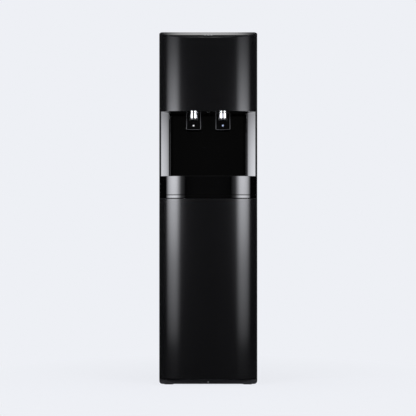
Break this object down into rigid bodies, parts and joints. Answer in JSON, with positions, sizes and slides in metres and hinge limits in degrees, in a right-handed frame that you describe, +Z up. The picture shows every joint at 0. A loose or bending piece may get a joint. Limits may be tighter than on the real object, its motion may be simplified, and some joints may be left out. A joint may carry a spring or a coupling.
{
  "type": "point-of-use water cooler",
  "caption": "Slim floor-standing mains-fed water cooler with a bowed front, a dispensing bay with push-lever taps, a pull-out drip tray and a service door over its filters.",
  "frame": {"origin": "on the floor, under the centre of the overall box", "axes": "+X to the right seen from the front, the front faces -Y, +Z up"},
  "size_m": [0.31, 0.345, 1.118],
  "materials": {
    "panel_black": "satin",
    "gloss_black": "high gloss",
    "steel_painted": "fine satin powder coat",
    "zinc_sheet": "galvanised",
    "cover_black": "satin",
    "lens_clear": "translucent",
    "rubber": "matte",
    "grille_black": "gloss",
    "chrome": "bright",
    "tip_black": "satin",
    "dot_white": "satin",
    "dot_blue": "satin",
    "switch_body": "moulded",
    "switch_button": "moulded",
    "filter_white": "satin",
    "head_grey": "moulded",
    "fitting_grey": "moulded",
    "valve_body": "moulded",
    "tube_white": "translucent",
    "stainless": "satin",
    "foam": "foam",
    "compressor_black": "gloss enamel",
    "condenser_black": "satin",
    "fan_black": "moulded",
    "copper": "drawn tube",
    "box_grey": "moulded",
    "board_green": "lacquered board",
    "socket_black": "moulded",
    "rocker_green": "gloss",
    "knob_black": "moulded",
    "loom_black": "braided sleeve",
    "screws": "zinc"
  },
  "bodies": {
    "cabinet": {"base_pan": "steel_painted", "rubber_feet": "rubber", "right_side_panel": "steel_painted", "left_side_panel": "steel_painted", "rear_panel": "zinc_sheet", "rear_bumpers": "rubber", "fasteners": "screws", "tank_shelf": "zinc_sheet", "top_cover": "cover_black", "lamp_lenses": "lens_clear", "upper_front_panel": "panel_black", "bay_liner": "gloss_black", "tray_deck": "gloss_black", "tap_bracket": "zinc_sheet", "nozzles": "chrome", "nozzle_tips": "tip_black", "tap_switches": "switch_body", "filter_channel": "zinc_sheet", "filter_heads": "head_grey", "water_fittings": "fitting_grey", "solenoid_valves": "valve_body", "water_lines": "tube_white", "cold_tank": "stainless", "tank_jacket": "foam", "jacket_lid": "foam", "compressor": "compressor_black", "compressor_mounts": "rubber", "condenser": "condenser_black", "fan_frame": "fan_black", "refrigerant_lines": "copper", "control_box": "box_grey", "control_board": "board_green", "power_inlet": "socket_black", "switch_housing": "socket_black", "thermostat": "box_grey", "wiring_loom": "loom_black"},
    "ambient_tap_lever": {"ambient_lever": "gloss_black", "ambient_marker": "dot_white"},
    "cold_tap_lever": {"cold_lever": "gloss_black", "cold_marker": "dot_blue"},
    "ambient_switch_plunger": {"ambient_plunger": "switch_button"},
    "cold_switch_plunger": {"cold_plunger": "switch_button"},
    "tray": {"tray_fascia": "gloss_black", "drip_tray": "grille_black"},
    "grille": {"drip_grille": "grille_black"},
    "door": {"service_door": "panel_black"},
    "sediment_cartridge": {"sediment_filter": "filter_white"},
    "carbon_cartridge": {"carbon_filter": "filter_white"},
    "fan": {"fan_rotor": "fan_black"},
    "rocker": {"cooling_switch": "rocker_green"},
    "dial": {"thermostat_knob": "knob_black"},
    "drain_plug": {"drain_cap": "knob_black"}
  },
  "joints": [
    {"name": "ambient_lever_push", "type": "hinge", "parent": "cabinet", "child": "ambient_tap_lever", "pos_m": [-0.047, -0.0585, 0.884], "axis": [1, 0, 0], "range_deg": [0, 10], "stiffness_Nm_per_rad": 0.6, "springref_deg": -4.98},
    {"name": "cold_lever_push", "type": "hinge", "parent": "cabinet", "child": "cold_tap_lever", "pos_m": [0.047, -0.0585, 0.884], "axis": [1, 0, 0], "range_deg": [0, 10], "stiffness_Nm_per_rad": 0.6, "springref_deg": -4.98},
    {"name": "ambient_plunger_slide", "type": "slide", "parent": "cabinet", "child": "ambient_switch_plunger", "axis": [0, 0, 1], "range_m": [0, 0.0026]},
    {"name": "cold_plunger_slide", "type": "slide", "parent": "cabinet", "child": "cold_switch_plunger", "axis": [0, 0, 1], "range_m": [0, 0.0026]},
    {"name": "tray_slide", "type": "slide", "parent": "cabinet", "child": "tray", "axis": [0, -1, 0], "range_m": [0, 0.16]},
    {"name": "grille_lift", "type": "slide", "parent": "tray", "child": "grille", "axis": [0, 0, 1], "range_m": [0, 0.08]},
    {"name": "door_pull", "type": "slide", "parent": "cabinet", "child": "door", "axis": [0, -1, 0], "range_m": [0, 0.1]},
    {"name": "sediment_cartridge_turn", "type": "hinge", "parent": "cabinet", "child": "sediment_cartridge", "pos_m": [-0.05, -0.0755, 0.42], "axis": [0, 0, 1], "range_deg": [0, 90]},
    {"name": "carbon_cartridge_turn", "type": "hinge", "parent": "cabinet", "child": "carbon_cartridge", "pos_m": [0.05, -0.0755, 0.42], "axis": [0, 0, 1], "range_deg": [0, 90]},
    {"name": "fan_spin", "type": "hinge", "parent": "cabinet", "child": "fan", "pos_m": [0.078, 0.118, 0.0685], "axis": [0, 1, 0], "continuous": true},
    {"name": "rocker_tilt", "type": "hinge", "parent": "cabinet", "child": "rocker", "pos_m": [0.105, 0.1585, 0.375], "axis": [1, 0, 0], "range_deg": [0, 14]},
    {"name": "dial_turn", "type": "hinge", "parent": "cabinet", "child": "dial", "pos_m": [0.105, 0.165, 0.42], "axis": [0, 1, 0], "range_deg": [0, 270]},
    {"name": "drain_plug_pull", "type": "slide", "parent": "cabinet", "child": "drain_plug", "axis": [0, 1, 0], "range_m": [0, 0.03]}
  ],
  "couplings": [
    {"joint": "ambient_plunger_slide", "follows": "ambient_lever_push", "m_per_rad": 0.0145},
    {"joint": "cold_plunger_slide", "follows": "cold_lever_push", "m_per_rad": 0.0145}
  ]
}
